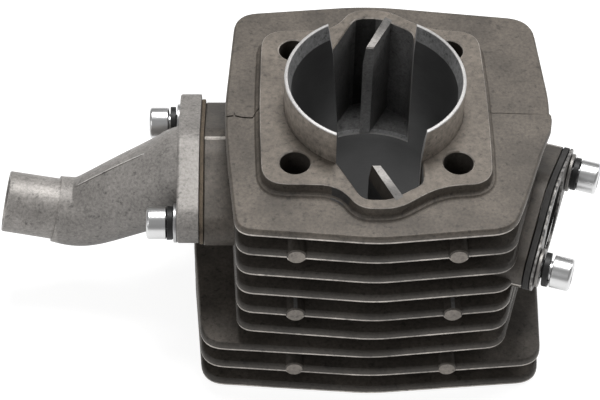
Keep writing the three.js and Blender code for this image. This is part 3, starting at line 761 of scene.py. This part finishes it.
def casting_surface(face):
    """The material of one face of the casting, from where the face is and which way it looks."""
    corners = np.array([v.co for v in face.verts])
    centre = (corners.max(0) + corners.min(0)) / 2
    radii = np.hypot(corners[:, 0], corners[:, 1])
    up = face.normal.z
    if corners[:, 2].min() > RIB_RISE / 2 or (corners[:, 2].min() > -0.5 and radii.max() < BORE_RADIUS + 0.6):
        return RIB_TOP if radii.min() < RIB_BRIGHT_TO + 2 else PAD_MILLED
    if corners[:, 2].min() > -0.4 or corners[:, 2].max() < HEAD_FACE + 0.01:
        return PAD_EDGE if 0.1 < up < 0.9 and radii.min() > 31 else PAD_MILLED
    # Painted light on the ribs' faces towards the bore and on the passages' floors.
    if abs(up) < 0.1 and np.abs(radii - BORE_RADIUS).max() < 0.2:
        return CAST_LIT
    if up > 0.8 and abs(centre[2] - PASSAGE_FLOOR) < 0.1:
        return CAST_LIT
    in_seat = radii.max() < SEAT_RADIUS + 0.1
    across, along = np.abs(corners[:, 0]).max(), np.abs(corners[:, 1]).max()
    in_outline = across < PASSAGE_SIDE + 0.2 and along < PASSAGE_END + 0.1
    in_passage = in_outline and abs(centre[1]) > 18 and abs(up) < 0.8
    # Painted light on the seat and passages where x is over 2 mm and on their slanted left walls, painted
    # shade on the rest.
    if in_seat or in_passage:
        return CAST_LIT if centre[0] > 2 or face.normal.x > 0.5 else CAST_HOLLOW
    return outer_surface(face, corners, centre)


def outer_surface(face, corners, centre):
    """The same for the casting's outside: the deck, the fins, the bosses and what lies between the fins."""
    up = face.normal.z
    index = int(round((DECK_TOP - FIN_THICKNESS / 2 - centre[2]) / FIN_PITCH))
    above_fin = centre[2] - (DECK_TOP - FIN_THICKNESS - index * FIN_PITCH)
    in_fin = -0.4 < above_fin < FIN_THICKNESS + 0.01
    far_out = max(abs(centre[0]) / 40, abs(centre[1]) / 44) > 1
    at_edge = far_out and abs(up) < 0.98 and above_fin < FIN_EDGE
    # The deck: painted highlight on the band along its lower edge.
    if corners[:, 2].min() > DECK_TOP - FIN_THICKNESS - 0.4:
        return CAST_EDGE if at_edge else CAST
    # Painted highlight on the flash line on the intake boss.
    if centre[0] < -43 and abs(centre[1] - FLASH_Y) < 0.4 and centre[2] > FLASH_TOP - 0.6:
        return CAST_EDGE
    beside_intake = abs(centre[1]) < BOSS_HALF_WIDTH
    if corners[:, 0].min() < -INTAKE_FACE + 0.6 and beside_intake:
        return CAST_BOSS
    at_pin = abs(centre[1]) > EJECTOR_REACH - 0.5 and abs(abs(centre[0]) - EJECTOR_X) < 1
    if at_pin and abs(face.normal.y) > 0.9:
        return CAST_DISC
    if corners[:, 0].max() < -42 and abs(centre[2] - INTAKE_Z) < BOSS_HALF_HEIGHT and beside_intake:
        return CAST_BOSS
    # Painted shade on the exhaust boss's flank.
    if corners[:, 0].max() > 44 and abs(centre[2] - EXHAUST_Z) < BOSS_HALF_HEIGHT and centre[1] < 8:
        return CAST_FLANK
    # Painted shade on the fins' flat faces.
    if abs(up) > 0.98 and in_fin:
        return CAST_FIN if index >= FIRST_WIDE_RIGHT else CAST_GAP
    # Fins' rims: painted highlight on the lower edge band, painted shade on the upper rounding.
    if in_fin and far_out:
        return FIN_LINE if at_edge else CAST_RIM
    # Painted shade on everything else between the fins.
    return CAST_FIN


# ---- Liner ------------------------------------------------------------------------------------------


def liner():
    rim_inside = LINER_RADIUS - SPIGOT_RIM
    mouth = SPIGOT_HEIGHT - SPIGOT_LEAD_IN
    profile = [
        (BORE_RADIUS, HEAD_FACE), (LINER_RADIUS, HEAD_FACE), (LINER_RADIUS, SPIGOT_HEIGHT - 0.3),
        (LINER_RADIUS - 0.1, SPIGOT_HEIGHT - 0.1), (LINER_RADIUS - 0.3, SPIGOT_HEIGHT),
        (rim_inside + 0.15, SPIGOT_HEIGHT), (rim_inside, SPIGOT_HEIGHT - 0.15),
        (BORE_RADIUS + 0.1, mouth + 0.4), (BORE_RADIUS, mouth),
    ]
    sleeve = turned(profile, 160, ring=True)
    cuts = [intake_duct(), exhaust_duct()]
    for side in (-1, 1):
        low, high = sorted((side * SLOT_FROM, side * SLOT_TO))
        loops = []
        for (left, right), z in zip(SLOT_SIDES[side], (PASSAGE_FLOOR, 0.0, SPIGOT_HEIGHT + 0.2)):
            loops.append(at_height(rectangle((left, low), (right, high)), z))
        cuts.append(loft(loops))
        left, right = SLOT_SIDES[side][0]
        slope = turned([
            (BORE_RADIUS - 0.1, PASSAGE_FLOOR - 0.45), (BORE_RADIUS + 0.4, PASSAGE_FLOOR + 0.05),
            (BORE_RADIUS + 0.4, PASSAGE_FLOOR + 1),
        ], 160)
        span = box((left, low, PASSAGE_FLOOR - 1), (right, high, PASSAGE_FLOOR + 0.5))
        cuts.append(combine(slope, [span], "INTERSECT"))
    sleeve = combine(sleeve, cuts, "DIFFERENCE")
    materials = [BORE_HONED, RIM_BRIGHT, SPIGOT_WALL, LEAD_IN]
    piece(sleeve, "liner_sleeve", ["cylinder_liner"], materials, liner_surface)


def liner_surface(face):
    """Bright rim and slot edges, turned outside, rough lead-in and slot bottoms, honed bore."""
    corners = np.array([v.co for v in face.verts])
    radii = np.hypot(corners[:, 0], corners[:, 1])
    if corners[:, 2].min() > SPIGOT_HEIGHT - 0.35 or (abs(face.normal.x) > 0.97 and np.ptp(radii) > 1.5):
        return RIM_BRIGHT
    if radii.min() > LINER_RADIUS - 0.4:
        return SPIGOT_WALL
    if radii.min() > BORE_RADIUS - 0.05 and corners[:, 2].min() > SPIGOT_HEIGHT - SPIGOT_LEAD_IN - 0.1:
        return LEAD_IN
    if 0.3 < face.normal.z < 0.8:
        return RIM_BRIGHT
    return LEAD_IN if face.normal.z > 0.8 else BORE_HONED


# ---- Intake manifold --------------------------------------------------------------------------------


def spline(values, t):
    """Catmull-Rom through evenly spaced values."""
    values = np.array(values, float)
    i = int(min(max(math.floor(t), 0), len(values) - 2))
    f = t - i
    p1, p2 = values[i], values[i + 1]
    p0 = values[i - 1] if i else 2 * p1 - p2
    p3 = values[i + 2] if i + 2 < len(values) else 2 * p2 - p1
    return 0.5 * (2 * p1 + (p2 - p0) * f + (2 * p0 - 5 * p1 + 4 * p2 - p3) * f * f
                  + (3 * p1 - p0 - 3 * p2 + p3) * f ** 3)


def duct_line(column):
    """The duct's centres and the radii in one column of DUCT, carried on into the straight tube."""
    path = [(0.0, height, distance) for distance, height, _, _ in DUCT]
    radii = [station[column] for station in DUCT]
    for share in (0.2, 0.4, 0.6, 0.8):
        distance, height = ((1 - share) * DUCT[-1][i] + share * TUBE_END[i] for i in (0, 1))
        path.append((0.0, height, distance))
        radii.append(DUCT[-1][column])
    return path, radii


def duct_frame(path, radii, t):
    """The duct's centre, its upward direction and its radius at t stations along it."""
    centre = spline(path, t)
    along = spline(path, min(t + BEND_REACH, len(path) - 1.0)) - spline(path, max(t - BEND_REACH, 0.0))
    return centre, np.cross(along / np.linalg.norm(along), ACROSS), float(spline(radii, t))


def duct_skin(column, steps, flare=0.0):
    """The bent duct, which widens by the flare where it meets the flange."""
    loops = []
    for t in np.linspace(0, len(DUCT) - 1, steps + 1):
        centre, up, radius = duct_frame(*duct_line(column), t)
        radius += flare * math.exp(-max(centre[2] - FLANGE_TOP, 0) / FLARE_LENGTH)
        loops.append(section(centre, ACROSS, up, radius, radius, count=72))
    return loft(loops, place=INTAKE)


def parting_ridge():
    """The raised line that the mould leaves along the top of the duct."""
    loops = []
    for t in np.linspace(RIDGE_FROM, RIDGE_TO, 40):
        centre, up, radius = duct_frame(*duct_line(OUTER), t)
        rise = 0.28 * math.sin(math.pi * (t - RIDGE_FROM) / (RIDGE_TO - RIDGE_FROM)) ** 0.4
        corners = [(-0.4, -0.5), (0.4, -0.5), (0.25, rise), (-0.25, rise)]
        loops.append(np.array([centre + ACROSS * x + up * (radius + y) for x, y in corners]))
    return loft(loops, place=INTAKE)


def straight_tube(start, end, radii, stops):
    """A tube between two points. Each radius belongs to a stop, from 0 at the start to 1 at the end."""
    along = (end - start) / np.linalg.norm(end - start)
    up = np.cross(along, ACROSS)
    loops = [
        section(start + (end - start) * stop, ACROSS, up, radius, radius, count=72)
        for radius, stop in zip(radii, stops)
    ]
    return loft(loops, place=INTAKE)


def manifold():
    start = np.array([0.0, DUCT[-1][1], DUCT[-1][0]])
    end = np.array([0.0, TUBE_END[1], TUBE_END[0]])
    along = (end - start) / np.linalg.norm(end - start)
    flange = slab(oval(INTAKE_REACH, *MANIFOLD_FLANGE, 28), FLANGE_BOTTOM, FLANGE_TOP, 0.3, 0.7, place=INTAKE)
    outer = duct_skin(OUTER, 60, flare=0.5)
    tube = straight_tube(start - along * 4, end, (9.75, 9.65, 9.6, 9.35), (0, 0.5, 0.98, 1))
    body = union([flange, outer, tube, parting_ridge()])

    behind = slab(rectangle((-45, -45), (45, 45)), FLANGE_BOTTOM - 20, FLANGE_BOTTOM, place=INTAKE)
    inner = duct_skin(INNER, 40)
    mouth = straight_tube(start - along * 2, end + along, (7.8, 7.8, 8.3), (0, 0.93, 1))
    inlet = turned([(INTAKE_PORT, 0.4), (INTAKE_PORT, 3.6)], 72, place=INTAKE)
    cuts = [behind, inner, mouth, inlet]
    for place in screw_places(INTAKE, INTAKE_REACH):
        cuts.append(turned([(SCREW_HOLE, 0), (SCREW_HOLE, 20)], 32, place=place))
    body = combine(body, cuts, "DIFFERENCE")
    materials = [MANIFOLD_CAST, TUBE_TURNED, MANIFOLD_LINE]
    piece(body, "manifold_casting", ["intake_manifold"], materials, manifold_surface)


def manifold_surface(face):
    """Turned tube, painted highlight on the parting line, and cast skin everywhere else."""
    centre = face.calc_center_median()
    out = -INTAKE_FACE - centre.x
    # Painted highlight on the parting ridge's top.
    if 11 < out < 40 and abs(centre.y) < 0.4 and face.calc_area() < 1.0 and face.normal.z > 0.5:
        return MANIFOLD_LINE
    return TUBE_TURNED if out > DUCT[-1][0] - 1.0 else MANIFOLD_CAST


# ---- Gaskets and fasteners --------------------------------------------------------------------------

WASHER_THICKNESS = 1.0
WASHER_EDGE = 0.15
LOCK_TURN = math.radians(25)  # the way the lock washers' gaps face


def gasket(face, reach, shape, port, low, high, edge):
    """A flat sheet between two heights over a port's face, with the port and the screw holes in it."""
    sheet = slab(oval(reach, *shape, 28), low, high, edge, edge, 2, place=face)
    cuts = [turned([(port, low - 1), (port, high + 1)], 72, place=face)]
    for place in screw_places(face, reach):
        cuts.append(turned([(SCREW_HOLE, low - 1), (SCREW_HOLE, high + 1)], 32, place=place))
    return combine(sheet, cuts, "DIFFERENCE")


def plain_washer(place):
    inner, outer, thick, edge = SCREW_HOLE, 6.0, WASHER_THICKNESS, WASHER_EDGE
    profile = [
        (inner, 0), (outer - edge, 0), (outer, edge),
        (outer, thick - edge), (outer - edge, thick), (inner, thick),
    ]
    return turned(profile, 64, True, place)


def lock_washer(place, height):
    """A split ring of square wire that climbs from its own thickness to the whole height."""
    inner, outer, wire, edge = SCREW_HOLE, 5.15, 1.75, WASHER_EDGE
    gap, steps = math.radians(13), 60
    first = math.radians(-60) + gap / 2
    loops = []
    for i in range(steps + 1):
        a = first + (2 * math.pi - gap) * i / steps
        low = (height - wire) * i / steps
        rounded = [
            (inner, low + edge), (inner + edge, low), (outer - edge, low), (outer, low + edge),
            (outer, low + wire - edge), (outer - edge, low + wire), (inner + edge, low + wire),
            (inner, low + wire - edge),
        ]
        loops.append(np.array([(r * math.cos(a), r * math.sin(a), z) for r, z in rounded]))
    return loft(loops, place=place)


def cap_screw(place):
    """Socket head cap screw: the head stands on local Z = 0, the threaded shank points down."""
    head, tall, rim, length, pitch = 4.95, 6.0, 0.9, 20.0, 1.0
    shank, crest, root = 3.0, 2.95, 2.5
    profile = [(root - 0.1, -length), (shank, -length + 0.6)]
    z = -length + 1.2
    while z < -1.5:
        profile += [(crest, z), (root, z + pitch / 2)]
        z += pitch
    profile += [(crest, -1.0), (crest, -0.2), (head - 0.2, 0), (head, 0.2), (head, tall - rim)]
    for a in np.linspace(0, math.pi / 2, 7)[1:]:
        profile.append((head - rim * (1 - math.cos(a)), tall - rim * (1 - math.sin(a))))
    body = turned(profile, 72, place=place)
    across_flats = 5.0
    corner = across_flats / 2 / math.cos(math.pi / 6)
    loops = [(0.05, tall - 4.2), (corner, tall - 3.0), (corner, tall - 0.35), (corner + 0.5, tall + 0.15)]
    socket = loft([at_height(circle(r, 6), height) for r, height in loops], place=place)
    return combine(body, [socket], "DIFFERENCE")


def fasteners(port, face, ends, seat, gap, washer_metal):
    """Each end's plain washer, lock washer and screw, stacked on the seat with a small gap between them.

    ends gives each end's distance along the port's face and its lock washer's height.
    """
    for end, (x, height) in ends.items():
        stand = face @ Matrix.Translation((x, 0, seat))
        piece(plain_washer(stand), f"{port}_washer_{end}",
              [f"{port}_plain_washer_{end}"], [washer_metal])
        ring_at = Matrix.Translation((0, 0, WASHER_THICKNESS + gap))
        ring = lock_washer(stand @ ring_at @ Matrix.Rotation(LOCK_TURN, 4, "Z"), height)
        piece(ring, f"{port}_spring_washer_{end}",
              [f"{port}_lock_washer_{end}"], [BLACK_STEEL])
        head_at = Matrix.Translation((0, 0, WASHER_THICKNESS + height + 2 * gap))
        piece(cap_screw(stand @ head_at), f"{port}_cap_screw_{end}",
              [f"{port}_screw_{end}"], [ZINC])


barrel()
liner()
manifold()

paper = gasket(INTAKE, INTAKE_REACH, INTAKE_GASKET, INTAKE_PORT, 0.1, 1.3, 0.25)
piece(paper, "intake_paper", ["intake_gasket"], [PAPER])
graphite = gasket(EXHAUST, EXHAUST_REACH, EXHAUST_GASKET, EXHAUST_PORT, 0.3, 2.1, 0.3)
piece(graphite, "exhaust_graphite", ["exhaust_gasket"], [GRAPHITE])
facing = gasket(EXHAUST, EXHAUST_REACH, EXHAUST_GASKET, EXHAUST_PORT, 2.4, 3.2, 0.2)
piece(facing, "exhaust_facing", ["exhaust_gasket_facing"], [FACING])

intake_ends = {"front": (INTAKE_REACH, 2.0), "rear": (-INTAKE_REACH, 2.6)}
fasteners("intake", INTAKE, intake_ends, FLANGE_TOP + 0.1, 0.1, WASHER_ZINC)
exhaust_ends = {"front": (-EXHAUST_REACH, 2.7), "rear": (EXHAUST_REACH, 1.8)}
fasteners("exhaust", EXHAUST, exhaust_ends, 3.5, 0.3, DULL_ZINC)

# ---- Floor, light and camera ------------------------------------------------------------------------

# From here on lengths are in metres.
FLOOR_HALF = 2.5
FLOOR_Z = HEAD_FACE * MM - 0.0002
PART_CENTRE = (0, 0, -0.03)

floor_mesh = bpy.data.meshes.new("floor")
floor_corners = at_height(rectangle((-FLOOR_HALF, -FLOOR_HALF), (FLOOR_HALF, FLOOR_HALF)), FLOOR_Z)
floor_mesh.from_pydata([tuple(c) for c in floor_corners], [], [(0, 1, 2, 3)])
floor = bpy.data.objects.new("floor", floor_mesh)
bpy.context.scene.collection.objects.link(floor)
paint = Shader("floor", 0.0, 0.9, 0.1)
paint.shader.inputs["Base Color"].default_value = (0.35, 0.35, 0.35, 1)
paint.shader.inputs["Emission Color"].default_value = (1, 1, 1, 1)
paint.shader.inputs["Emission Strength"].default_value = 0.85
floor_mesh.materials.append(paint.material)

world = bpy.data.worlds.new("studio")
world.use_nodes = True
world.node_tree.nodes["Background"].inputs["Color"].default_value = (1, 1, 1, 1)
world.node_tree.nodes["Background"].inputs["Strength"].default_value = 0.3
bpy.context.scene.world = world


def soft_light(name, location, size, watts):
    """A round area light that looks at the part."""
    data = bpy.data.lights.new(name, "AREA")
    data.shape = "DISK"
    data.size = size
    data.energy = watts
    light = bpy.data.objects.new(name, data)
    bpy.context.scene.collection.objects.link(light)
    light.location = location
    aim = Vector(PART_CENTRE) - light.location
    light.rotation_euler = aim.to_track_quat("-Z", "Y").to_euler()


soft_light("key", (0.05, 0.3, 0.9), 0.5, 9)
soft_light("fill", (-0.6, -0.6, 0.55), 0.5, 1.6)
soft_light("rim", (0.7, 0.3, 0.5), 0.4, 2)

FOCAL_LENGTH = 121.9  # this and the sensor's width are in millimetres
SENSOR_WIDTH = 36.0
CAMERA_PLACE = (-0.0339243, -0.4347628, 0.4308091)
CAMERA_TURN = Quaternion((0.9317356, 0.3630106, -0.0091274, -0.0029516))

lens = bpy.data.cameras.new("camera")
lens.lens = FOCAL_LENGTH
lens.sensor_width = SENSOR_WIDTH
lens.clip_start = 0.01
lens.clip_end = 20
camera = bpy.data.objects.new("camera", lens)
bpy.context.scene.collection.objects.link(camera)
camera.location = CAMERA_PLACE
camera.rotation_mode = "QUATERNION"
camera.rotation_quaternion = CAMERA_TURN
bpy.context.scene.camera = camera
bpy.context.scene.view_settings.view_transform = "Standard"
